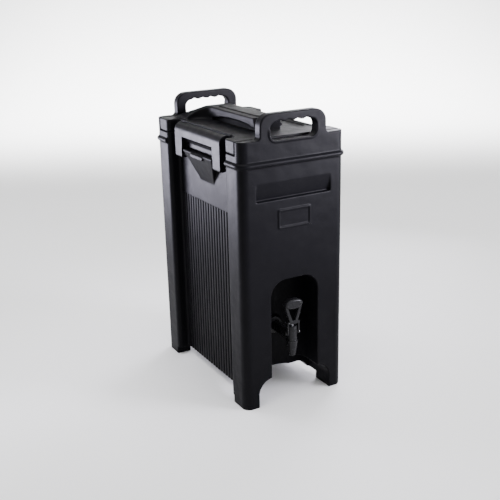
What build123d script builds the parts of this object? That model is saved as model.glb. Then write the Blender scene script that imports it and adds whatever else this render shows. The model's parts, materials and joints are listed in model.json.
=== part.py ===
from build123d import *
import os

# Insulated beverage carrier: a double-walled plastic tub with a gasketed lift-off lid,
# two swing-out side latches and a drip-free faucet in a niche at the front.
# Millimetres, +Z up. The origin is on the floor, at the middle of the footprint.
# The front, with the faucet, faces -Y.

# ---- driving dimensions ----
WIDTH = 244.0            # across the corner columns, X
DEPTH = 386.0            # front face to rear face, Y
SEAT_Z = 540.0           # where the lid rests on the tub
RIM_Z = 568.0            # top of the end walls and of the lid's deck
TOP_Z = 617.0            # top of the carrying handles
WALL = 5.0               # outer shell wall
CORNER_R = 18.0          # vertical corners

# ---- side recesses, between the corner columns ----
PANEL_X = 95.0           # half width at the recessed side panels
RECESS_Y = 130.0         # half length of a recess
COLUMN_EDGE_R = 10.0
COLUMN_ROOT_R = 6.0
RIB_COUNT = 20
RIB_PITCH = 12.0
GROOVE_WIDTH = 4.4
GROOVE_DEPTH = 3.0
RIB_TOP_Z = 404.0

# ---- underside: four feet, side skirts and a channel that clears a stacked unit's handles ----
FOOT_Y = 140.0
SKIRT_Z = 17.0
CHANNEL_X = 88.0
CHANNEL_END_Z = 62.0
CHANNEL_MID_Z = 37.0
CHANNEL_END_Y = 112.0
CHANNEL_R = 34.0

# ---- faucet niche ----
NICHE_X = 57.0
NICHE_BACK_Y = -100.0
NICHE_TOP_Z = 276.0
NICHE_TOP_R = 36.0

# ---- end walls and carrying handles ----
END_WALL = 20.0
HANDLE_X = 76.5
HANDLE_R = 25.0
HANDLE_ROOT = 7.0
SLOT_X = 54.0
SLOT_LOW_Z = 564.0
SLOT_HIGH_Z = 600.0
SLOT_R = 14.0
FINGER_PITCH = 21.0
FINGER_DEPTH = 2.6
HANDLE_EDGE_R = 4.5
SLOT_LIP = 3.0
SLOT_LIP_PROUD = 1.6

# ---- front details ----
BEAD_Z = 521.0
BEAD_R = 5.0
BEAD_BEVEL = 2.75
BEAD_END_Y = 136.0
BAND_X = 87.0
BAND_LOW_Z = 447.0
BAND_STEP_Z = 472.0
BAND_HIGH_Z = 483.0
BAND_DEPTH = 8.0
BAND_STEP_DEPTH = 2.0
BAND_BACK = 7.0
LABEL_X = 38.0
LABEL_LOW_Z = 386.0
LABEL_HIGH_Z = 425.0
LABEL_LINE = 3.0
LABEL_PROUD = 2.0
LABEL_INNER_R = 1.5
LABEL_R = 3.5

# ---- tank ----
LINER = 3.5
TANK_X = 73.0
TANK_REAR_Y = 160.0
TANK_LOW_FRONT_Y = -78.5
TANK_FLOOR_Z = 122.0
TANK_STEP_Z = 298.5
TANK_R = 22.0

# ---- lid ----
LID_GAP = 2.4
LID_Y = DEPTH / 2 - END_WALL - LID_GAP
LID_SKIN = 4.0
LID_LIP = 2.0
LID_LIP_Y = 112.0
PLUG_X = 69.0
PLUG_Y = 156.0
PLUG_Z = 520.0
GASKET_X = 83.0
GASKET_Y = 166.5
GASKET_WIDTH = 6.5
GASKET_HEIGHT = 3.6
GASKET_AIR = 0.3
GASKET_R = 18.0
PLUG_R = 18.0
LID_CLEAR = 0.2
LIP_WIDTH = 5.5
LIP_RISE = 2.0
CROWN_Z = 592.0
CROWN_X = 28.0
CROWN_FRONT_Y = -86.0
CROWN_REAR_Y = 124.0
EAVE_X = 84.0
EAVE_Z = 571.0
BODY_FRONT_Y = -106.0
BODY_REAR_Y = 162.0
CROWN_PANEL_X = 15.0
PANEL_FRONT_Y = -80.0
PANEL_REAR_Y = 96.0
PANEL_RISE = 2.2
PANEL_R = 9.0
PANEL_DRAFT = 20.0
SCOOP_FLOOR_Z = 565.0
SCOOP_OUT_X = 88.0
SCOOP_IN_X = 34.0
SCOOP_FRONT_Y = -116.0
SCOOP_REAR_Y = 118.0
SCOOP_R = 26.0
SCOOP_DRAFT = 9.0
SCOOP_BLEND = 7.0
ARCH_DEPTH = 7.0
ARCH_Y = -10.0
ARCH_HALF = 96.0
ARCH_TOP_Z = 579.0
ARCH_R = 550.0

# ---- latches ----
LATCH_OUT_X = 118.0
LATCH_IN_X = 100.0
LATCH_Y = 104.0
LATCH_TOP_Z = 567.5
LATCH_TOP_R = 17.0
LATCH_LOW_Z = 493.5
LATCH_WEB_Z = 516.0
LEG_Y = 72.0
HEEL_R = 4.0
HINGE_R = 8.5
GRIP_Y = 70.0
GRIP_HIGH_Z = 540.0
GRIP_LOW_Z = 511.0
GRIP_DEPTH = 13.5
GRIP_CURVE = [(8.5, 2.5), (3.5, 7.0), (0.5, 13.0)]   # in from the back, down from the top
PIVOT_X = 109.5
PIVOT_Z = 502.0
PIVOT_R = 3.0
PIN_SHORT = 2.0
FIT = 0.05

# ---- pads that carry the latches ----
PAD_Y = 68.0
PAD_FOOT_Y = 31.0
PAD_PROUD = 23.0
PAD_TOP_Z = 514.5
PAD_LOW_Z = 452.0
PAD_ROOT = 2.0
PAD_BEVEL = 2.5
TAB_Y = 28.0
TAB_Z = 504.0
TAB_THICK = 7.0
TAB_OUT_X = 120.0
TAB_R = 3.0

# ---- faucet ----
TAP_Y = -181.0
SHANK_Z = 140.0
SHANK_R = 11.0
SHANK_BORE_R = 8.4
SHANK_PORT_R = 3.3
SHANK_END_Y = -62.0
PORT_Y = -169.0
BORE_R = 11.3
BOSS_Y = -104.0
BOSS_R = 21.0
FLANGE_R = 19.0
FLANGE_THICK = 5.0
WASHER_R = 17.0
WASHER_THICK = 3.0
NUT_R = 17.0
NUT_THICK = 9.0

# ---- vent, in the right-hand scoop of the lid ----
VENT_X = 62.0
VENT_Y = 0.0
VENT_R = 15.0
VENT_BORE_R = 8.0
VENT_STEM_R = 4.0
VENT_HEAD = 7.0
VENT_HEAD_R = 2.5
VENT_LIFT = 0.6
BUSH_BELOW = 2.5
BUSH_LIP = 1.5
BUSH_LIP_R = 2.5


def block(x0, x1, y0, y1, z0, z1):
    """A box between two corners."""
    box = Box(x1 - x0, y1 - y0, z1 - z0)
    return Pos((x0 + x1) / 2, (y0 + y1) / 2, (z0 + z1) / 2) * box


def along_y(face_points, y0, y1):
    """Extrude an outline drawn in (x, z) from y0 to y1."""
    face = make_face(Polyline(*face_points, close=True).edges())
    return Pos(0, y1, 0) * extrude(Plane.XZ * face, y1 - y0)


def along_x(face_points, x0, x1):
    """Extrude an outline drawn in (y, z) from x0 to x1."""
    face = make_face(Polyline(*face_points, close=True).edges())
    return Pos(x0, 0, 0) * extrude(Plane.YZ * face, x1 - x0)


def rod_y(x, y0, y1, z, radius):
    """A round bar along Y."""
    return Pos(x, (y0 + y1) / 2, z) * Rot(90, 0, 0) * Cylinder(radius, y1 - y0)


def rod_x(x0, x1, y, z, radius):
    """A round bar along X."""
    return Pos((x0 + x1) / 2, y, z) * Rot(0, 90, 0) * Cylinder(radius, x1 - x0)


def rod_z(x, y, z0, z1, radius):
    """A round bar along Z."""
    return Pos(x, y, (z0 + z1) / 2) * Cylinder(radius, z1 - z0)


def rounded_block(x0, x1, y0, y1, z0, z1, radius):
    """A box with rounded vertical corners."""
    face = RectangleRounded(x1 - x0, y1 - y0, radius)
    return Pos((x0 + x1) / 2, (y0 + y1) / 2, z0) * extrude(face, z1 - z0)


def turned(part):
    """The same piece on the other side of the carrier, turned half a turn about Z."""
    return Rot(0, 0, 180) * part


# ---------------------------------------------------------------- tub

def plan(inset):
    """The tub's outline from above: four corner columns and two recessed sides."""
    half_w = WIDTH / 2 - inset
    panel = PANEL_X - inset
    recess = RECESS_Y + inset
    face = RectangleRounded(2 * half_w, DEPTH - 2 * inset, CORNER_R - inset)
    for side in (-1, 1):
        face -= Pos(side * (panel + half_w) / 2, 0) * Rectangle(half_w - panel, 2 * recess)
    edges = [v for v in face.vertices() if abs(abs(v.Y) - recess) < 0.01]
    face = fillet([v for v in edges if abs(v.X) > half_w - 0.01], COLUMN_EDGE_R - inset / 2)
    roots = [v for v in face.vertices() if abs(abs(v.Y) - recess) < 0.01]
    return fillet([v for v in roots if abs(abs(v.X) - panel) < 0.01], COLUMN_ROOT_R)


def channel(height, y0, y1, inset):
    """The part of the underside channel from y0 to y1."""
    half = CHANNEL_X + inset
    top = height + inset
    tunnel = block(-half, half, y0, y1, -top, top)
    corners = tunnel.edges().filter_by(Axis.Y).group_by(Axis.Z)[-1]
    return fillet(corners, CHANNEL_R)


def niche(inset):
    """The faucet niche: flat sides, a half-round back and an arched top."""
    half = NICHE_X + inset
    back = NICHE_BACK_Y + inset
    outer = -DEPTH / 2 - 1
    straight = back - half
    shape = Pos(0, (outer + straight) / 2) * Rectangle(2 * half, straight - outer)
    shape += Pos(0, straight) * Circle(half)
    top = NICHE_TOP_Z + inset
    well = extrude(shape, top + 1)
    arch = block(-half, half, outer - 1, back + 1, -1, top)
    corners = arch.edges().filter_by(Axis.Y).group_by(Axis.Z)[-1]
    return well & fillet(corners, NICHE_TOP_R + inset)


def tub_form(inset):
    """The solid outer form of the tub, set in by a wall thickness."""
    form = Pos(0, 0, inset) * extrude(plan(inset), SEAT_Z - inset)
    feet_y = FOOT_Y + inset
    form -= block(-WIDTH, WIDTH, -feet_y, feet_y, -1, SKIRT_Z + inset)
    end_y = CHANNEL_END_Y - inset
    form -= channel(CHANNEL_MID_Z, -end_y - 1, end_y + 1, inset)
    form -= channel(CHANNEL_END_Z, -DEPTH, -end_y, inset)
    form -= channel(CHANNEL_END_Z, end_y, DEPTH, inset)
    return form - niche(inset)


def end_wall():
    """The front wall above the lid seat, with its moulded carrying handle."""
    outer_y = -DEPTH / 2
    inner_y = outer_y + END_WALL
    wall = Pos(0, 0, SEAT_Z) * extrude(plan(0), RIM_Z - SEAT_Z)
    wall &= block(-WIDTH, WIDTH, outer_y, inner_y, SEAT_Z, RIM_Z)
    grip = block(-HANDLE_X, HANDLE_X, outer_y, inner_y, RIM_Z - 20, TOP_Z)
    grip = fillet(grip.edges().filter_by(Axis.Y).group_by(Axis.Z)[-1], HANDLE_R)
    for side in (-1, 1):
        root = block(0, HANDLE_ROOT, outer_y, inner_y, RIM_Z - 1, RIM_Z + HANDLE_ROOT)
        root -= rod_y(HANDLE_ROOT, outer_y, inner_y, RIM_Z + HANDLE_ROOT, HANDLE_ROOT)
        foot = Pos(HANDLE_X, 0, 0) * root
        grip += foot if side > 0 else mirror(foot, Plane.YZ)
    grip += wall
    slot = block(-SLOT_X, SLOT_X, outer_y - 5, inner_y + 5, SLOT_LOW_Z, SLOT_HIGH_Z)
    slot = fillet(slot.edges().filter_by(Axis.Y), SLOT_R)
    for finger in range(-1, 3):
        x = (finger - 0.5) * FINGER_PITCH
        radius = FINGER_PITCH / 2
        z = SLOT_HIGH_Z + FINGER_DEPTH - radius
        slot += rod_y(x, outer_y - 5, inner_y + 5, z, radius)
    return grip - slot


def slot_lip():
    """The raised lip round the handle slot, on the outer face."""
    outer_y = -DEPTH / 2
    low = SLOT_LOW_Z - SLOT_LIP
    high = SLOT_HIGH_Z - SLOT_R
    half = SLOT_X + SLOT_LIP
    ring = block(-half, half, outer_y - SLOT_LIP_PROUD, outer_y + 2, low, high)
    ring = fillet(ring.edges().filter_by(Axis.Y).group_by(Axis.Z)[0], SLOT_R + SLOT_LIP)
    hole = block(-SLOT_X, SLOT_X, outer_y - 4, outer_y + 4, SLOT_LOW_Z, high + 1)
    hole = fillet(hole.edges().filter_by(Axis.Y).group_by(Axis.Z)[0], SLOT_R)
    return ring - hole


def bead():
    """The half-round bead round the columns and end walls, below the lid line."""
    ring = Pos(0, 0, BEAD_Z - BEAD_R) * extrude(offset(plan(0), BEAD_R), 2 * BEAD_R)
    ring = chamfer(ring.edges().group_by(Axis.Z)[-1], BEAD_BEVEL)
    ring = chamfer(ring.edges().group_by(Axis.Z)[0], BEAD_BEVEL)
    ring -= Pos(0, 0, BEAD_Z - 20) * extrude(offset(plan(0), -WALL / 2), 40)
    for side in (-1, 1):
        x = side * (PANEL_X + WIDTH / 2 + 10) / 2
        width = WIDTH / 2 + 10 - PANEL_X + 2 * BEAD_R
        ring -= Pos(x, 0, BEAD_Z) * Box(width, 2 * BEAD_END_Y, 4 * BEAD_R)
    return ring


def band_recess():
    """The shallow wedge-shaped band moulded into the front."""
    face = -DEPTH / 2
    outline = [
        (face - 1, BAND_LOW_Z),
        (face + BAND_DEPTH, BAND_LOW_Z),
        (face + BAND_STEP_DEPTH, BAND_STEP_Z),
        (face, BAND_HIGH_Z),
        (face - 1, BAND_HIGH_Z),
    ]
    return along_x(outline, -BAND_X, BAND_X)


def label_frame():
    """The raised rectangle that frames a label on the front."""
    face = -DEPTH / 2
    back = face + 1
    outer = block(-LABEL_X, LABEL_X, face - LABEL_PROUD, back, LABEL_LOW_Z, LABEL_HIGH_Z)
    outer = fillet(outer.edges().filter_by(Axis.Y), LABEL_R)
    t = LABEL_LINE
    x = LABEL_X - t
    inner = block(-x, x, face - 9, back + 9, LABEL_LOW_Z + t, LABEL_HIGH_Z - t)
    inner = fillet(inner.edges().filter_by(Axis.Y), LABEL_INNER_R)
    return outer - inner


def latch_pad():
    """The tapered wedge that carries a latch's pivot pin, with its small seal tab."""
    face = PANEL_X - PAD_ROOT
    out = PANEL_X + PAD_PROUD
    outline = [
        (-face, PAD_LOW_Z),
        (-PANEL_X, PAD_LOW_Z),
        (-out, PAD_TOP_Z - PAD_BEVEL),
        (-out + PAD_BEVEL, PAD_TOP_Z),
        (-face, PAD_TOP_Z),
    ]
    sides = [
        (-PAD_Y, PAD_TOP_Z),
        (PAD_Y, PAD_TOP_Z),
        (PAD_FOOT_Y, PAD_LOW_Z),
        (-PAD_FOOT_Y, PAD_LOW_Z),
    ]
    pad = along_y(outline, -PAD_Y, PAD_Y) & along_x(sides, -WIDTH / 2, -face)
    tab = block(-TAB_OUT_X, -PIVOT_X, -TAB_Y, TAB_Y, TAB_Z, TAB_Z + TAB_THICK)
    tab = fillet(tab.edges().filter_by(Axis.X), TAB_R)
    return pad + tab


def rib_grooves():
    """The grooves that leave a row of upright ribs on the left panel."""
    cuts = None
    for index in range(RIB_COUNT + 1):
        y = (index - RIB_COUNT / 2) * RIB_PITCH
        x = -PANEL_X + GROOVE_DEPTH
        groove = block(x - 20, x, y - GROOVE_WIDTH / 2, y + GROOVE_WIDTH / 2, -5, RIB_TOP_Z)
        cuts = groove if cuts is None else cuts + groove
    return cuts


def foam_space():
    """The hollow inside the outer shell, open at the lid seat and clear of the band's back."""
    front = -DEPTH / 2
    half = BAND_X + WALL
    back = block(-half, half, front, front + WALL + BAND_BACK, BAND_LOW_Z - WALL, BAND_HIGH_Z)
    return tub_form(WALL) - back


def pivot_bore():
    """The hole through a pad for the latch's pin."""
    return rod_y(-PIVOT_X, -LATCH_Y, LATCH_Y, PIVOT_Z, PIVOT_R + FIT)


def make_outer_shell(hollow):
    shell = tub_form(0) - hollow
    front = end_wall() + slot_lip()
    shell += front
    shell += turned(front)
    shell += bead()
    shell -= band_recess()
    shell += label_frame()
    grooves = rib_grooves()
    pad = latch_pad()
    for place in (lambda p: p, turned):
        shell -= place(grooves)
        shell += place(pad)
        shell -= place(pivot_bore())
    shell += rod_y(0, BOSS_Y, NICHE_BACK_Y + WALL, SHANK_Z, BOSS_R)
    return shell - rod_y(0, -DEPTH / 2, 0, SHANK_Z, BORE_R)


def tank_solid(inset):
    """The tank's outline from the side, stepping forward over the niche."""
    front = -TANK_REAR_Y - inset
    outline = [
        (TANK_REAR_Y + inset, SEAT_Z + 5),
        (TANK_REAR_Y + inset, TANK_FLOOR_Z - inset),
        (TANK_LOW_FRONT_Y - inset, TANK_FLOOR_Z - inset),
        (TANK_LOW_FRONT_Y - inset, TANK_STEP_Z - inset),
        (front, TANK_STEP_Z - inset),
        (front, SEAT_Z + 5),
    ]
    half = TANK_X + inset
    tank = along_x(outline, -half, half)
    upright = tank.edges().filter_by(Axis.Z)
    keep = [e for e in upright if abs(e.center().Y) > TANK_REAR_Y - 1]
    return fillet(keep, TANK_R)


def make_inner_liner():
    flange = Pos(0, 0, SEAT_Z - LINER) * extrude(plan(WALL), LINER)
    limit = DEPTH / 2 - END_WALL
    flange &= block(-WIDTH, WIDTH, -limit, limit, SEAT_Z - 9, SEAT_Z + 9)
    body = tank_solid(LINER) & block(-WIDTH, WIDTH, -DEPTH, DEPTH, 0, SEAT_Z)
    liner = flange + body
    liner -= tank_solid(0)
    return liner - rod_y(0, -DEPTH / 2, 0, SHANK_Z, BORE_R)


def make_foam_core(hollow):
    foam = hollow & block(-WIDTH, WIDTH, -DEPTH, DEPTH, 0, SEAT_Z - LINER)
    foam -= tank_solid(LINER)
    foam -= rod_y(0, BOSS_Y, NICHE_BACK_Y + WALL, SHANK_Z, BOSS_R)
    return foam - rod_y(0, -DEPTH / 2, 0, SHANK_Z, BORE_R)


# ---------------------------------------------------------------- lid

def raised_body(inset):
    """The raised middle of the lid: a flat top with sloping sides and a sloping rear."""
    top = CROWN_Z - inset
    eave = EAVE_Z - inset
    eave_x = EAVE_X - inset
    low = SCOOP_FLOOR_Z - LID_SKIN
    across = [
        (-eave_x, low),
        (-eave_x, eave),
        (-CROWN_X, top),
        (CROWN_X, top),
        (eave_x, eave),
        (eave_x, low),
    ]
    along = [
        (BODY_FRONT_Y + inset, low),
        (CROWN_FRONT_Y + inset / 2, top + 1),
        (CROWN_REAR_Y, top + 1),
        (BODY_REAR_Y - inset, eave),
        (BODY_REAR_Y - inset, low),
    ]
    body = along_y(across, BODY_FRONT_Y, BODY_REAR_Y)
    return body & along_x(along, -eave_x, eave_x)


def crown_panel():
    """The slightly raised panel that runs along the top of the lid."""
    middle = (PANEL_FRONT_Y + PANEL_REAR_Y) / 2
    length = PANEL_REAR_Y - PANEL_FRONT_Y
    face = RectangleRounded(2 * CROWN_PANEL_X, length, PANEL_R)
    return extrude(Pos(0, middle, CROWN_Z - 1) * face, 1 + PANEL_RISE, taper=PANEL_DRAFT)


def scoop(inset):
    """The hand scoop on the left of the lid, with a drafted wall round it."""
    x0 = -SCOOP_OUT_X - inset
    x1 = -SCOOP_IN_X + inset
    y0 = SCOOP_FRONT_Y - inset
    y1 = SCOOP_REAR_Y + inset
    floor = SCOOP_FLOOR_Z - inset
    middle = Pos((x0 + x1) / 2, (y0 + y1) / 2, floor)
    face = middle * RectangleRounded(x1 - x0, y1 - y0, SCOOP_R)
    bowl = extrude(face, CROWN_Z + 2 - floor, taper=-SCOOP_DRAFT)
    return fillet(bowl.edges().group_by(Axis.Z)[0], SCOOP_BLEND + inset)


def grip_arch(inset):
    """The arched finger pocket in the foot of the scoop's inner wall."""
    back = -SCOOP_IN_X + ARCH_DEPTH + inset
    disc = rod_x(-SCOOP_IN_X - 6, back, ARCH_Y, ARCH_TOP_Z - ARCH_R, ARCH_R + inset)
    low = SCOOP_FLOOR_Z - inset
    half = ARCH_HALF + inset
    return disc & block(-WIDTH, WIDTH, ARCH_Y - half, ARCH_Y + half, low, CROWN_Z)


def lid_form(inset, low_z):
    """The lid's solid outer form, set in by its skin."""
    limit = LID_Y - inset
    form = Pos(0, 0, low_z) * extrude(plan(inset + LID_CLEAR), RIM_Z - inset - low_z)
    form &= block(-WIDTH, WIDTH, -limit, limit, low_z, RIM_Z)
    form += raised_body(inset)
    hollow = scoop(inset) + grip_arch(inset)
    form -= hollow
    return form - mirror(hollow, Plane.YZ)


def lid_lip():
    """The ledge along a side of the lid that the latch closes over."""
    outer = -PANEL_X - LID_LIP
    ledge = block(outer, -PANEL_X + 2, -LID_LIP_Y, LID_LIP_Y, RIM_Z - 8, RIM_Z)
    return ledge + block(outer, outer + LIP_WIDTH, -LID_LIP_Y, LID_LIP_Y, RIM_Z - 1, RIM_Z + LIP_RISE)


def lid_space():
    """The hollow inside the lid shell, open underneath."""
    return lid_form(LID_SKIN, SEAT_Z + LID_GAP)


def make_lid_shell(space):
    shell = lid_form(0, SEAT_Z + LID_GAP)
    shell += crown_panel()
    shell += lid_lip()
    shell += turned(lid_lip())
    shell -= space
    return shell - rod_z(VENT_X, VENT_Y, SEAT_Z, RIM_Z, VENT_BORE_R)


def plug(inset):
    """The insulated plug that hangs into the tank's mouth."""
    return rounded_block(
        -PLUG_X + inset, PLUG_X - inset, -PLUG_Y + inset, PLUG_Y - inset,
        PLUG_Z + inset, SEAT_Z + LID_GAP + LINER, PLUG_R - inset / 2)


def gasket_ring():
    low = SEAT_Z + GASKET_AIR
    high = low + GASKET_HEIGHT
    outer = rounded_block(-GASKET_X, GASKET_X, -GASKET_Y, GASKET_Y, low, high, GASKET_R)
    x = GASKET_X - GASKET_WIDTH
    y = GASKET_Y - GASKET_WIDTH
    return outer - rounded_block(-x, x, -y, y, low - 1, high + 1, GASKET_R - GASKET_WIDTH)


def make_lid_pan():
    low = SEAT_Z + LID_GAP
    pan = Pos(0, 0, low) * extrude(plan(LID_SKIN + LID_CLEAR), LINER)
    limit = LID_Y - LID_SKIN
    pan &= block(-WIDTH, WIDTH, -limit, limit, low - 1, low + 9)
    pan += plug(0)
    pan -= plug(LINER)
    pan -= gasket_ring()
    return pan - rod_z(VENT_X, VENT_Y, PLUG_Z - 5, RIM_Z, VENT_BORE_R)


def make_lid_foam(space):
    foam = space - block(-WIDTH, WIDTH, -DEPTH, DEPTH, 0, SEAT_Z + LID_GAP + LINER)
    foam += plug(LINER)
    return foam - rod_z(VENT_X, VENT_Y, PLUG_Z - 5, RIM_Z, VENT_BORE_R)


# ---------------------------------------------------------------- latches

def make_latch():
    """The left latch: a thick blow-moulded plate on two legs, with a finger grip."""
    slab = block(-LATCH_OUT_X, -LATCH_IN_X, -LATCH_Y, LATCH_Y, LATCH_WEB_Z, LATCH_TOP_Z)
    crown = [e for e in slab.edges().filter_by(Axis.Y).group_by(Axis.Z)[-1]
             if e.center().X < -LATCH_IN_X - 1]
    slab = fillet(crown, LATCH_TOP_R)
    for side in (-1, 1):
        low, high = sorted((side * LEG_Y, side * LATCH_Y))
        leg = block(-LATCH_OUT_X, -PIVOT_X, low, high, LATCH_LOW_Z, LATCH_WEB_Z + 1)
        heel = [e for e in leg.edges().filter_by(Axis.Y).group_by(Axis.Z)[0]
                if e.center().X < -PIVOT_X - 1]
        leg = fillet(heel, HEEL_R)
        leg += block(-PIVOT_X - 1, -LATCH_IN_X, low, high, PIVOT_Z, LATCH_WEB_Z + 1)
        slab += leg + rod_y(-PIVOT_X, low, high, PIVOT_Z, HINGE_R)
    inner = -LATCH_OUT_X + GRIP_DEPTH
    grip = [
        (-LATCH_OUT_X - 1, GRIP_HIGH_Z),
        (-LATCH_OUT_X, GRIP_HIGH_Z),
        *[(inner - out, GRIP_HIGH_Z - drop) for out, drop in GRIP_CURVE],
        (inner, GRIP_LOW_Z),
        (-LATCH_OUT_X - 1, GRIP_LOW_Z),
    ]
    slab -= along_y(grip, -GRIP_Y, GRIP_Y)
    return slab - rod_y(-PIVOT_X, -LATCH_Y - 1, LATCH_Y + 1, PIVOT_Z, PIVOT_R + FIT)


def make_latch_pin():
    return rod_y(-PIVOT_X, -LATCH_Y + PIN_SHORT, LATCH_Y - PIN_SHORT, PIVOT_Z, PIVOT_R)


# ---------------------------------------------------------------- vent

def make_vent_cap():
    top = SCOOP_FLOOR_Z + VENT_LIFT
    cap = rod_z(VENT_X, VENT_Y, top, top + VENT_HEAD, VENT_R)
    cap = fillet(cap.edges().group_by(Axis.Z)[-1], VENT_HEAD_R)
    cap += rod_z(VENT_X, VENT_Y, PLUG_Z - 6, top + 1, VENT_STEM_R)
    return cap


def make_vent_grommet():
    """The rubber bush that lines the vent bore."""
    low = PLUG_Z - BUSH_BELOW
    bush = rod_z(VENT_X, VENT_Y, low, SCOOP_FLOOR_Z, VENT_BORE_R - FIT)
    bush += rod_z(VENT_X, VENT_Y, low - BUSH_LIP, PLUG_Z - FIT, VENT_BORE_R + BUSH_LIP_R)
    return bush - rod_z(VENT_X, VENT_Y, low - 9, RIM_Z, VENT_STEM_R + FIT)


# ---------------------------------------------------------------- faucet

BARREL_R = 10.5
BARREL_LOW_Z = 132.0
BARREL_TOP_Z = 158.0
BARREL_WALL = 2.5
SPOUT_Z = 97.0
SPOUT_TIP_R = 7.5
SPOUT_TOP_R = 13.0
SPOUT_BORE_R = 5.5
SEAT_FACE_Z = 129.0
BONNET_TOP_Z = 165.0
BONNET_PLUG = 6.0
BONNET_R = 2.0
LEVER_PIVOT_Z = 148.0
LEVER_FRONT = 8.0
LEVER_BACK = 1.0
LEVER_PIN_R = 1.95
PIN_STUB_X = 16.0
PIN_HEAD_R = 3.6
PIN_HEAD = 2.4
PIN_HEAD_AIR = 0.1
PIN_GAP_R = 3.0
LOOP_LOW_X = 8.0
LOOP_LOW_Z = 170.0
LOOP_TOP_X = 20.5
LOOP_TOP_Z = 210.0
LOOP_HOLE = [(-3.5, 178), (3.5, 178), (13, 206), (-13, 206)]
CAP_X = 21.5
CAP_HALF_Z = 11.0
CAP_MID_Z = 215.5
CAP_THICK = 17.0
CAP_R = 4.6
YOKE_IN_X = 11.2
YOKE_OUT_X = 14.8
YOKE_EYE_R = 4.8
YOKE_LOW_Z = 171.0
YOKE_TOP_Z = 176.0
STEM_TOP_Z = 168.0
STEM_R = 3.0
STEM_COLLAR_R = 6.0
STEM_HOLE_R = 3.1
CUP_R = 7.4
CUP_TOP = 6.0
CUP_SOCKET = 4.0
COIL_R = 4.8
COIL_WIRE_R = 0.6
COIL_PITCH = 2.8
COIL_LOW_Z = 138.0
COIL_HIGH_Z = 151.0


def make_faucet_body():
    barrel = rod_z(0, TAP_Y, BARREL_LOW_Z, BARREL_TOP_Z, BARREL_R)
    drop = BARREL_LOW_Z - SPOUT_Z
    spout = Pos(0, TAP_Y, SPOUT_Z + drop / 2) * Cone(SPOUT_TIP_R, SPOUT_TOP_R, drop)
    shank = rod_y(0, TAP_Y, SHANK_END_Y, SHANK_Z, SHANK_R)
    face = BOSS_Y - WASHER_THICK
    flange = rod_y(0, face - FLANGE_THICK, face, SHANK_Z, FLANGE_R)
    body = barrel + spout + shank + flange
    body -= rod_z(0, TAP_Y, SEAT_FACE_Z, BARREL_TOP_Z + 1, BARREL_R - BARREL_WALL)
    body -= rod_z(0, TAP_Y, SPOUT_Z - 1, SEAT_FACE_Z + 1, SPOUT_BORE_R)
    body -= rod_y(0, PORT_Y, SHANK_END_Y + 1, SHANK_Z, SHANK_BORE_R)
    return body - rod_y(0, TAP_Y, PORT_Y + 1, SHANK_Z, SHANK_PORT_R)


def ring_y(y0, y1, z, outer, inner):
    """A flat ring with its axis along Y."""
    return rod_y(0, y0, y1, z, outer) - rod_y(0, y0 - 1, y1 + 1, z, inner)


def make_shank_nut():
    middle = TANK_LOW_FRONT_Y + WASHER_THICK + NUT_THICK / 2
    hexagon = extrude(RegularPolygon(NUT_R, 6), NUT_THICK / 2, both=True)
    nut = Pos(0, middle, SHANK_Z) * Rot(90, 0, 0) * hexagon
    return nut - rod_y(0, TANK_LOW_FRONT_Y, 0, SHANK_Z, SHANK_R + FIT)


def make_bonnet():
    cap = rod_z(0, TAP_Y, BARREL_TOP_Z, BONNET_TOP_Z, BARREL_R)
    cap = fillet(cap.edges().group_by(Axis.Z)[-1], BONNET_R)
    low = BARREL_TOP_Z - BONNET_PLUG
    cap += rod_z(0, TAP_Y, low, BARREL_TOP_Z, BARREL_R - BARREL_WALL - FIT)
    return cap - rod_z(0, TAP_Y, low - 5, BONNET_TOP_Z + 5, STEM_HOLE_R)


def make_stem():
    low = SEAT_FACE_Z + CUP_SOCKET
    stem = rod_z(0, TAP_Y, low, STEM_TOP_Z, STEM_R)
    return stem + rod_z(0, TAP_Y, SEAT_FACE_Z + CUP_TOP, low + CUP_SOCKET, STEM_COLLAR_R)


def make_stem_spring():
    """The coil that holds the valve shut, round the stem under the bonnet."""
    coil = Helix(pitch=COIL_PITCH, height=COIL_HIGH_Z - COIL_LOW_Z, radius=COIL_R)
    wire = (coil ^ 0) * Circle(COIL_WIRE_R)
    return Pos(0, TAP_Y, COIL_LOW_Z) * sweep(wire, path=coil)


def make_seat_cup():
    cup = rod_z(0, TAP_Y, SEAT_FACE_Z + FIT, SEAT_FACE_Z + CUP_TOP, CUP_R)
    return cup - rod_z(0, TAP_Y, SEAT_FACE_Z + CUP_SOCKET, SEAT_FACE_Z + 2 * CUP_TOP, STEM_R)


def lever_cap(middle):
    """The rounded oval thumb rest on top of the loop."""
    oval = Plane.XZ * Ellipse(CAP_X, CAP_HALF_Z)
    cap = Pos(0, middle, CAP_MID_Z) * extrude(oval, CAP_THICK / 2, both=True)
    return fillet(cap.edges(), CAP_R)


def make_lever():
    """A V-shaped loop handle with a rounded cap, on a yoke that straddles the barrel."""
    y0 = TAP_Y - LEVER_FRONT
    y1 = TAP_Y + LEVER_BACK
    loop = [
        (-LOOP_LOW_X, LOOP_LOW_Z),
        (LOOP_LOW_X, LOOP_LOW_Z),
        (LOOP_TOP_X, LOOP_TOP_Z),
        (-LOOP_TOP_X, LOOP_TOP_Z),
    ]
    lever = along_y(loop, y0, y1)
    lever -= along_y(LOOP_HOLE, y0 - 1, y1 + 1)
    lever += lever_cap((y0 + y1) / 2)
    lever += block(-YOKE_OUT_X, YOKE_OUT_X, y0, y1, YOKE_LOW_Z, YOKE_TOP_Z)
    for side in (-1, 1):
        low, high = sorted((side * YOKE_IN_X, side * YOKE_OUT_X))
        arm = block(low, high, y0 + 1, y1, LEVER_PIVOT_Z, YOKE_TOP_Z)
        lever += arm + rod_x(low, high, TAP_Y, LEVER_PIVOT_Z, YOKE_EYE_R)
    return lever - rod_x(-YOKE_OUT_X - 5, YOKE_OUT_X + 5, TAP_Y, LEVER_PIVOT_Z, LEVER_PIN_R + FIT)


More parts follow.
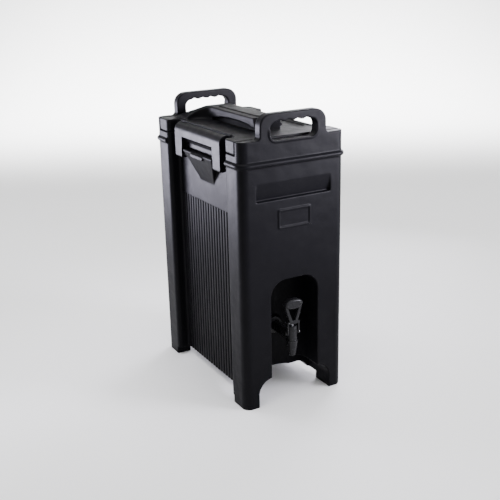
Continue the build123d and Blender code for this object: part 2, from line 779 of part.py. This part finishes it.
def make_lever_pin():
    pin = rod_x(-PIN_STUB_X, PIN_STUB_X, TAP_Y, LEVER_PIVOT_Z, LEVER_PIN_R)
    head = YOKE_OUT_X + PIN_HEAD_AIR
    pin += rod_x(head, head + PIN_HEAD, TAP_Y, LEVER_PIVOT_Z, PIN_HEAD_R)
    return pin - rod_x(-BARREL_R, BARREL_R, TAP_Y, LEVER_PIVOT_Z, PIN_GAP_R)


def washer(y0):
    """A sealing washer on the shank."""
    return ring_y(y0, y0 + WASHER_THICK, SHANK_Z, WASHER_R, SHANK_R + FIT)


def main():
    os.makedirs("parts", exist_ok=True)
    hollow = foam_space()
    lid_hollow = lid_space()
    latch = make_latch()
    latch_pin = make_latch_pin()
    parts = {
        "outer_shell": make_outer_shell(hollow),
        "inner_liner": make_inner_liner(),
        "foam_core": make_foam_core(hollow),
        "latch_left": latch,
        "latch_right": turned(latch),
        "latch_pin_left": latch_pin,
        "latch_pin_right": turned(latch_pin),
        "lid_shell": make_lid_shell(lid_hollow),
        "lid_pan": make_lid_pan(),
        "lid_foam": make_lid_foam(lid_hollow),
        "lid_gasket": gasket_ring(),
        "vent_cap": make_vent_cap(),
        "vent_grommet": make_vent_grommet(),
        "faucet_body": make_faucet_body(),
        "faucet_bonnet": make_bonnet(),
        "faucet_lever": make_lever(),
        "lever_pin": make_lever_pin(),
        "valve_stem": make_stem(),
        "stem_spring": make_stem_spring(),
        "seat_cup": make_seat_cup(),
        "shank_nut": make_shank_nut(),
        "washer_outer": washer(BOSS_Y - WASHER_THICK),
        "washer_inner": washer(TANK_LOW_FRONT_Y),
    }
    for name, part in parts.items():
        export_step(part, f"parts/{name}.step")


main()
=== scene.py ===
"""Looks for the insulated beverage carrier: moulded shells, finishes, light and camera.

Every piece is in metres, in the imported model's own frame: +Z up, the faucet faces -Y.
"""
import json
import math

import bpy
import numpy as np
from mathutils import Matrix, Vector


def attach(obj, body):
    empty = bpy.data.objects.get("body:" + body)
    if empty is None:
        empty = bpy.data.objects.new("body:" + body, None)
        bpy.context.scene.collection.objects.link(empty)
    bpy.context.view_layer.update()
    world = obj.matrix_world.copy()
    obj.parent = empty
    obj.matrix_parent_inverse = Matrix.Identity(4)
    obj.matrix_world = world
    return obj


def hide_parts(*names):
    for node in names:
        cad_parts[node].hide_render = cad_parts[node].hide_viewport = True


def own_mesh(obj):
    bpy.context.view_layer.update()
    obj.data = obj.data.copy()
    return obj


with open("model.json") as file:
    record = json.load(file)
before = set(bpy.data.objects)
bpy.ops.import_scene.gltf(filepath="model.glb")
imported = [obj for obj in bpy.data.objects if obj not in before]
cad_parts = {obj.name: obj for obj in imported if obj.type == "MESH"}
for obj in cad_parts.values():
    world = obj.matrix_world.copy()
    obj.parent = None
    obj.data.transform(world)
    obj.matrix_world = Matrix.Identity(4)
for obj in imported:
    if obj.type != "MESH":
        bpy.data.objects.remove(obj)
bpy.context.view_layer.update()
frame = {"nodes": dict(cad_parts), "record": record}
MM = 0.001


# ------------------------------------------------------------------ materials

# Noise scales are in cycles per metre, and bump depths in metres.
PATCH_SCALE = 9.0        # slow change of colour over a moulding
SHEEN_SCALE = 55.0       # patchy gloss from handling
GRAIN_SCALE = 1500.0     # the mould's fine texture
WAVE_SCALE = 28.0        # slight waviness of a rotomoulded wall
WAVE_DEPTH = 0.0012
RUBBER_GRAIN_SCALE = 900.0
RUBBER_GRAIN_DEPTH = 0.00012
RUBBER_PATCH_SCALE = 40.0
RUBBER_LIGHTER = 1.35
BRUSH_ALONG = 40.0       # brushed steel: slow along X, fast across
BRUSH_ACROSS = 2200.0
BRUSH_DEPTH = 0.00003
FOAM_CELL_SCALE = 700.0
FOAM_CELL_DEPTH = 0.0003
FOAM_PATCH_SCALE = 25.0
MIDDLE = (0.3, 0.7)      # the part of a noise's range that most of it falls in


def new_material(name, colour, roughness, specular=0.5, metallic=0.0):
    """A material with a Principled shader; returns it with its tree and shader."""
    made = bpy.data.materials.new(name)
    made.use_nodes = True
    tree = made.node_tree
    shader = tree.nodes["Principled BSDF"]
    shader.inputs["Base Color"].default_value = (*colour, 1.0)
    shader.inputs["Roughness"].default_value = roughness
    shader.inputs["Metallic"].default_value = metallic
    shader.inputs["Specular IOR Level"].default_value = specular
    return made, tree, shader


def noise(tree, coords, scale, detail=3.0, rough=0.5):
    node = tree.nodes.new("ShaderNodeTexNoise")
    node.inputs["Scale"].default_value = scale
    node.inputs["Detail"].default_value = detail
    node.inputs["Roughness"].default_value = rough
    tree.links.new(coords, node.inputs["Vector"])
    return node.outputs["Fac"]


def ramp(tree, value, low, high, out_low, out_high):
    """Map a value from low...high to out_low...out_high."""
    node = tree.nodes.new("ShaderNodeMapRange")
    node.inputs["From Min"].default_value = low
    node.inputs["From Max"].default_value = high
    node.inputs["To Min"].default_value = out_low
    node.inputs["To Max"].default_value = out_high
    tree.links.new(value, node.inputs["Value"])
    return node.outputs["Result"]


def mix_colour(tree, factor, dark, light):
    node = tree.nodes.new("ShaderNodeMix")
    node.data_type = "RGBA"
    node.inputs[6].default_value = (*dark, 1.0)
    node.inputs[7].default_value = (*light, 1.0)
    tree.links.new(factor, node.inputs[0])
    return node.outputs[2]


def bump(tree, height, distance, below=None):
    node = tree.nodes.new("ShaderNodeBump")
    node.inputs["Distance"].default_value = distance
    node.inputs["Strength"].default_value = 1.0
    tree.links.new(height, node.inputs["Height"])
    if below is not None:
        tree.links.new(below, node.inputs["Normal"])
    return node.outputs["Normal"]


def coordinates(tree):
    return tree.nodes.new("ShaderNodeTexCoord").outputs["Object"]


def moulded_plastic(name, dark, light, rough_low, rough_high, grain, specular):
    """Satin moulded plastic: a fine grain, slow waviness, faint scuffs and patchy sheen."""
    made, tree, shader = new_material(name, dark, rough_low, specular)
    coords = coordinates(tree)
    patches = noise(tree, coords, PATCH_SCALE, 4.0, 0.6)
    colour = mix_colour(tree, ramp(tree, patches, *MIDDLE, 0.0, 1.0), dark, light)
    tree.links.new(colour, shader.inputs["Base Color"])
    sheen = noise(tree, coords, SHEEN_SCALE, 5.0, 0.65)
    roughness = ramp(tree, sheen, *MIDDLE, rough_low, rough_high)
    tree.links.new(roughness, shader.inputs["Roughness"])
    fine = noise(tree, coords, GRAIN_SCALE, 2.0, 0.5)
    slow = noise(tree, coords, WAVE_SCALE, 2.0, 0.4)
    waves = bump(tree, slow, WAVE_DEPTH)
    tree.links.new(bump(tree, fine, grain, waves), shader.inputs["Normal"])
    return made


def plain_rubber(name, colour, roughness):
    made, tree, shader = new_material(name, colour, roughness, 0.35)
    fine = noise(tree, coordinates(tree), RUBBER_GRAIN_SCALE, 3.0)
    tree.links.new(bump(tree, fine, RUBBER_GRAIN_DEPTH), shader.inputs["Normal"])
    lighter = tuple(min(1.0, c * RUBBER_LIGHTER) for c in colour)
    patches = noise(tree, coordinates(tree), RUBBER_PATCH_SCALE, 4.0)
    tree.links.new(mix_colour(tree, patches, colour, lighter), shader.inputs["Base Color"])
    return made


def brushed_steel(name):
    made, tree, shader = new_material(name, (0.55, 0.55, 0.56), 0.3, 0.5, 1.0)
    stretch = tree.nodes.new("ShaderNodeMapping")
    stretch.inputs["Scale"].default_value = (BRUSH_ALONG, BRUSH_ACROSS, BRUSH_ACROSS)
    tree.links.new(coordinates(tree), stretch.inputs["Vector"])
    lines = noise(tree, stretch.outputs["Vector"], 1.0, 3.0)
    tree.links.new(ramp(tree, lines, *MIDDLE, 0.22, 0.42), shader.inputs["Roughness"])
    tree.links.new(bump(tree, lines, BRUSH_DEPTH), shader.inputs["Normal"])
    return made


def foam(name):
    made, tree, shader = new_material(name, (0.78, 0.66, 0.40), 0.85, 0.2)
    cells = tree.nodes.new("ShaderNodeTexVoronoi")
    cells.inputs["Scale"].default_value = FOAM_CELL_SCALE
    tree.links.new(coordinates(tree), cells.inputs["Vector"])
    cell_bump = bump(tree, cells.outputs["Distance"], FOAM_CELL_DEPTH)
    tree.links.new(cell_bump, shader.inputs["Normal"])
    patches = noise(tree, coordinates(tree), FOAM_PATCH_SCALE, 5.0)
    colour = mix_colour(tree, patches, (0.70, 0.56, 0.31), (0.84, 0.73, 0.48))
    tree.links.new(colour, shader.inputs["Base Color"])
    return made


# name, darker and lighter colour, roughness range, grain depth, specular level
SHELL = moulded_plastic("black_polyethylene", (0.0022, 0.0021, 0.0030), (0.0032, 0.0031, 0.0041),
                        0.38, 0.47, 0.00005, 0.05)
LATCH = moulded_plastic("black_nylon", (0.0024, 0.0023, 0.0032), (0.0034, 0.0033, 0.0043),
                        0.35, 0.43, 0.00004, 0.055)
LINER = moulded_plastic("liner_polyethylene", (0.018, 0.018, 0.021), (0.024, 0.024, 0.028),
                        0.34, 0.44, 0.00002, 0.2)
FAUCET = moulded_plastic("polished_black", (0.006, 0.006, 0.007), (0.009, 0.009, 0.010),
                         0.22, 0.32, 0.00001, 0.14)
VENT = moulded_plastic("black_polypropylene", (0.014, 0.014, 0.017), (0.019, 0.019, 0.022),
                       0.38, 0.50, 0.00003, 0.1)
GASKET = plain_rubber("black_rubber", (0.020, 0.020, 0.021), 0.65)
SILICONE = plain_rubber("pale_silicone", (0.62, 0.62, 0.58), 0.5)
STEEL = brushed_steel("stainless")
FOAM = foam("polyurethane_foam")


# ------------------------------------------------------------------ moulded pieces

def smooth_points(points, edges, rounds, pull=0.5):
    """Move each point towards the mean of its neighbours, which rounds every edge."""
    count = len(points)
    a, b = edges[:, 0], edges[:, 1]
    degree = np.bincount(a, minlength=count) + np.bincount(b, minlength=count)
    degree = np.maximum(degree, 1)[:, None]
    for _ in range(rounds):
        total = np.empty_like(points)
        for axis in range(3):
            total[:, axis] = np.bincount(a, points[b, axis], count)
            total[:, axis] += np.bincount(b, points[a, axis], count)
        points = points + pull * (total / degree - points)
    return points


def applied(copy):
    """The mesh that a piece's modifiers give; the modifiers are then removed."""
    depsgraph = bpy.context.evaluated_depsgraph_get()
    mesh = bpy.data.meshes.new_from_object(copy.evaluated_get(depsgraph))
    copy.modifiers.clear()
    return mesh


def moulded(node, voxel, rounds, material, body, faces):
    """A moulded copy of a CAD node: its edges rounded as a mould leaves them."""
    source = frame["nodes"][node]
    copy = bpy.data.objects.new(node + "_work", source.data.copy())
    bpy.context.collection.objects.link(copy)
    remesh = copy.modifiers.new("voxels", "REMESH")
    remesh.mode = "VOXEL"
    remesh.voxel_size = voxel * 1.0
    mesh = applied(copy)
    points = np.empty(len(mesh.vertices) * 3, dtype=np.float32)
    mesh.vertices.foreach_get("co", points)
    edges = np.empty(len(mesh.edges) * 2, dtype=np.int32)
    mesh.edges.foreach_get("vertices", edges)
    points = points.reshape(-1, 3).astype(np.float64)
    points = smooth_points(points, edges.reshape(-1, 2), rounds)
    mesh.vertices.foreach_set("co", points.astype(np.float32).ravel())
    mesh.update()
    copy.data = mesh
    tris = sum(len(p.vertices) - 2 for p in mesh.polygons)
    if tris > faces:
        thin = copy.modifiers.new("thin", "DECIMATE")
        thin.ratio = faces / tris
        mesh = applied(copy)
        copy.data = mesh
    mesh.materials.clear()
    mesh.materials.append(material)
    mesh.shade_smooth()
    copy.name = node + "_moulded"
    mesh.name = copy.name
    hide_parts(node)
    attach(copy, body)


BODIES = frame["record"]["behaviour"]["bodies"]
BODY_OF = {node: body for body, names in BODIES.items() for node in names}

# node, voxel in mm, rounds of smoothing, material, slot, most triangles
MOULDED = [
    ("outer_shell", 1.2, 3, SHELL, "shell", 185000),
    ("lid_shell", 1.2, 4, SHELL, "shell", 150000),
    ("latch_left", 0.9, 3, LATCH, "latch", 60000),
    ("latch_right", 0.9, 3, LATCH, "latch", 60000),
    ("inner_liner", 1.8, 3, LINER, "liner", 80000),
    ("lid_pan", 1.6, 3, LINER, "liner", 60000),
    ("faucet_body", 0.6, 3, FAUCET, "faucet", 40000),
    ("faucet_bonnet", 0.5, 3, FAUCET, "faucet", 10000),
    ("faucet_lever", 0.5, 3, FAUCET, "faucet", 30000),
    ("vent_cap", 0.6, 3, VENT, "vent", 10000),
    ("lid_foam", 1.6, 8, FOAM, "foam", 40000),
]
for node, voxel, rounds, material, slot, faces in MOULDED:
    moulded(node, voxel * MM, rounds, material, BODY_OF[node], faces)

PLAIN = {
    "foam_core": FOAM, "latch_pin_left": LATCH, "latch_pin_right": LATCH,
    "lever_pin": STEEL, "valve_stem": STEEL, "lid_gasket": GASKET,
    "vent_grommet": GASKET, "washer_outer": GASKET, "washer_inner": SILICONE,
    "seat_cup": SILICONE, "shank_nut": FAUCET,
}
for node, material in PLAIN.items():
    obj = frame["nodes"][node]
    obj.data.materials.clear()
    obj.data.materials.append(material)


def closing_spring():
    """The valve's coil under the bonnet, which shortens as the stem lifts; this steel copy keeps
    the CAD spring's one shape.
    """
    source = frame["nodes"]["stem_spring"]
    coil = bpy.data.objects.new("closing_spring", source.data.copy())
    bpy.context.collection.objects.link(coil)
    coil.data.materials.clear()
    coil.data.materials.append(STEEL)
    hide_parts("stem_spring")
    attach(coil, BODY_OF["stem_spring"])
    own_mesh(coil)


closing_spring()


# ------------------------------------------------------------------ floor, light, camera

# The camera: angles in radians, lens in mm, distances in metres.
VIEW_YAW = 0.5121
VIEW_PITCH = 0.3246
VIEW_ROLL = -0.0243
LENS = 59.67
SENSOR = 36.0
SHIFT = (0.004, -0.0027)
TARGET = (0.0, 0.0, 0.284)
DISTANCE = 1.85765
CLIP_END = 100.0

# The floor, in metres along the view's direction, and its curve up into a wall.
FLOOR_FRONT = -7.0
FLOOR_BACK = 3.4
FLOOR_HALF = 9.0
WALL_TOP = 7.0
CURVE_R = 1.6
CURVE_STEPS = 24

COOL = (0.90, 0.88, 1.0)
COOLER = (0.84, 0.82, 1.0)
WHITE = (1.0, 1.0, 1.0)
WORLD_STRENGTH = 1.0

# name, place, aim, width, height, watts, colour, spread in degrees
LIGHTS = [
    ("left_rear_bank", (-0.85, 0.95, 0.40), (-0.12, 0.0, 0.60), 0.6, 0.5, 8.5, COOLER, 66),
    ("right_front_bank", (0.75, -0.85, 0.65), (0.10, -0.19, 0.56), 0.5, 0.5, 8, COOL, 60),
    ("right_rear_bank", (1.15, 0.80, 0.55), (0.12, 0.05, 0.45), 0.7, 0.7, 9, COOL, 80),
    ("overhead_bank", (0.0, 0.0, 3.0), (0.0, 0.0, 0.0), 2.4, 2.4, 90, WHITE, 180),
    ("backdrop_bank", (1.2, 2.1, 2.4), (1.86, 3.31, 0.0), 4.0, 1.0, 230, WHITE, 80),
]


def make_floor():
    """A pale floor that curves up far behind the object."""
    profile = [(FLOOR_FRONT, 0.0), (FLOOR_BACK, 0.0)]
    for i in range(1, CURVE_STEPS + 1):
        angle = math.pi / 2 * i / CURVE_STEPS
        along = FLOOR_BACK + CURVE_R * math.sin(angle)
        profile.append((along, CURVE_R * (1 - math.cos(angle))))
    profile.append((FLOOR_BACK + CURVE_R, WALL_TOP))
    turn = Matrix.Rotation(-VIEW_YAW, 4, "Z")
    points = []
    for x in (-FLOOR_HALF, FLOOR_HALF):
        points += [turn @ Vector((x, y, z)) for y, z in profile]
    n = len(profile)
    faces = [(i, i + 1, n + i + 1, n + i) for i in range(n - 1)]
    mesh = bpy.data.meshes.new("floor")
    mesh.from_pydata(points, [], faces)
    mesh.shade_smooth()
    made, tree, shader = new_material("pale_floor", (0.93, 0.93, 0.935), 0.75, 0.2)
    tone = noise(tree, coordinates(tree), 3.0, 2.0)
    colour = mix_colour(tree, tone, (0.92, 0.92, 0.925), (0.94, 0.94, 0.945))
    tree.links.new(colour, shader.inputs["Base Color"])
    mesh.materials.append(made)
    obj = bpy.data.objects.new("floor", mesh)
    bpy.context.collection.objects.link(obj)


def area_light(name, place, aim, width, height, power, colour, spread):
    """A soft box that the camera itself doesn't see; spread is its grid's angle in degrees."""
    data = bpy.data.lights.new(name, "AREA")
    data.shape = "RECTANGLE"
    data.size, data.size_y = width, height
    data.energy = power
    data.color = colour
    data.spread = math.radians(spread)
    obj = bpy.data.objects.new(name, data)
    obj.location = place
    direction = Vector(aim) - Vector(place)
    obj.rotation_euler = direction.to_track_quat("-Z", "Y").to_euler()
    obj.visible_camera = False
    bpy.context.collection.objects.link(obj)


def make_camera():
    """The camera at the viewing angle, with its small roll and shift."""
    yaw, pitch, roll = VIEW_YAW, VIEW_PITCH, VIEW_ROLL
    level = math.cos(pitch)
    look = Vector((math.sin(yaw) * level, math.cos(yaw) * level, -math.sin(pitch)))
    right = Vector((math.cos(yaw), -math.sin(yaw), 0))
    up = right.cross(look)
    side = math.cos(roll) * right + math.sin(roll) * up
    top = -math.sin(roll) * right + math.cos(roll) * up
    data = bpy.data.cameras.new("camera")
    data.sensor_width = SENSOR
    data.lens = LENS
    data.shift_x, data.shift_y = SHIFT
    data.clip_end = CLIP_END
    obj = bpy.data.objects.new("camera", data)
    turn = Matrix((side, top, -look)).transposed().to_4x4()
    obj.matrix_world = Matrix.Translation(Vector(TARGET) - look * DISTANCE) @ turn
    bpy.context.collection.objects.link(obj)
    bpy.context.scene.camera = obj


make_floor()
for light in LIGHTS:
    area_light(*light)
world = bpy.data.worlds.new("studio")
bpy.context.scene.world = world
world.use_nodes = True
background = world.node_tree.nodes["Background"]
background.inputs["Color"].default_value = (*WHITE, 1.0)
background.inputs["Strength"].default_value = WORLD_STRENGTH
make_camera()
